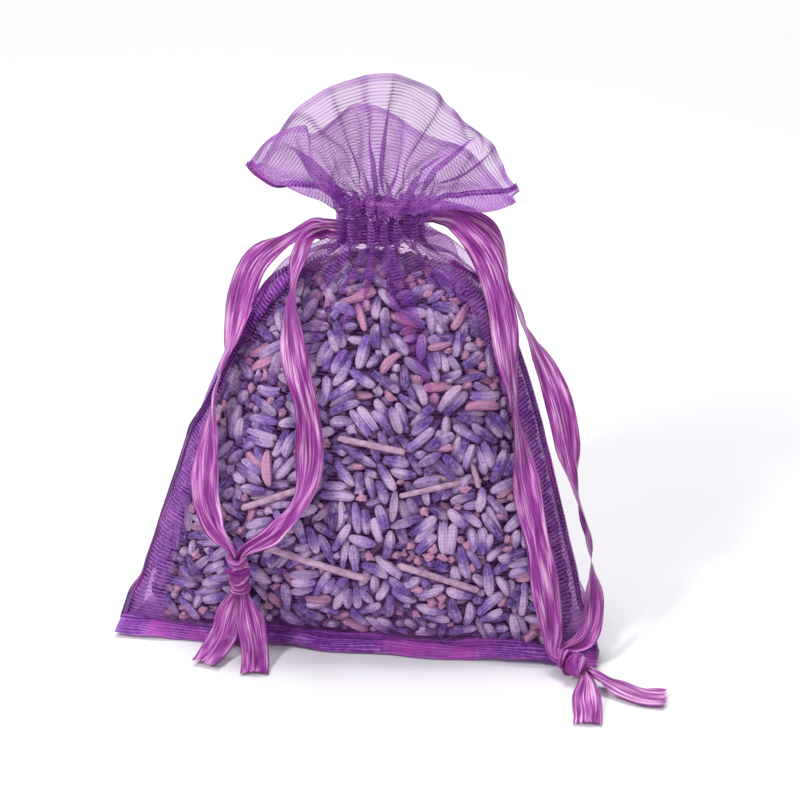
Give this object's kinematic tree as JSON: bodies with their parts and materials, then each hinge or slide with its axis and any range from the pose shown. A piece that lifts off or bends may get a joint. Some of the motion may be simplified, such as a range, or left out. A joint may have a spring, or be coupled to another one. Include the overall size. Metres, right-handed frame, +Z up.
{
  "type": "lavender sachet",
  "caption": "Sheer organza drawstring pouch filled with dried lavender, gathered shut at a ruffled neck by two knotted ribbon drawstrings, sitting on its flattened base.",
  "frame": {"origin": "on the flat base, below the middle of the pouch", "axes": "+Z up from the surface it sits on, -Y towards the front with the bottom seam, +X to the right as seen from the front"},
  "size_m": [0.0892, 0.0631, 0.0834],
  "materials": {
    "organza": "satin",
    "seam_cloth": "matte",
    "satin_ribbon": "satin",
    "dried_lavender": "matte",
    "dried_stem": "matte"
  },
  "bodies": {
    "pouch": {"front_panel": "organza", "back_panel": "organza", "bottom_seam": "seam_cloth", "left_side_seam": "seam_cloth", "right_side_seam": "seam_cloth", "left_header_seam": "seam_cloth", "right_header_seam": "seam_cloth", "front_casing": "seam_cloth", "back_casing": "seam_cloth", "left_casing_ribbon": "satin_ribbon", "right_casing_ribbon": "satin_ribbon", "lavender_fill": "dried_lavender", "stem_1": "dried_stem", "stem_2": "dried_stem", "stem_3": "dried_stem", "stem_4": "dried_stem"},
    "left_drawstring": {"left_front_strand": "satin_ribbon", "left_back_strand": "satin_ribbon", "left_knot": "satin_ribbon", "left_front_tail": "satin_ribbon", "left_back_tail": "satin_ribbon"},
    "right_drawstring": {"right_front_strand": "satin_ribbon", "right_back_strand": "satin_ribbon", "right_knot": "satin_ribbon", "right_front_tail": "satin_ribbon", "right_back_tail": "satin_ribbon"}
  },
  "joints": [
    {"name": "left_drawstring_pull", "type": "slide", "parent": "pouch", "child": "left_drawstring", "axis": [-1, 0, 0], "range_m": [0, 0.009]},
    {"name": "right_drawstring_pull", "type": "slide", "parent": "pouch", "child": "right_drawstring", "axis": [1, 0, 0], "range_m": [0, 0.009]}
  ]
}
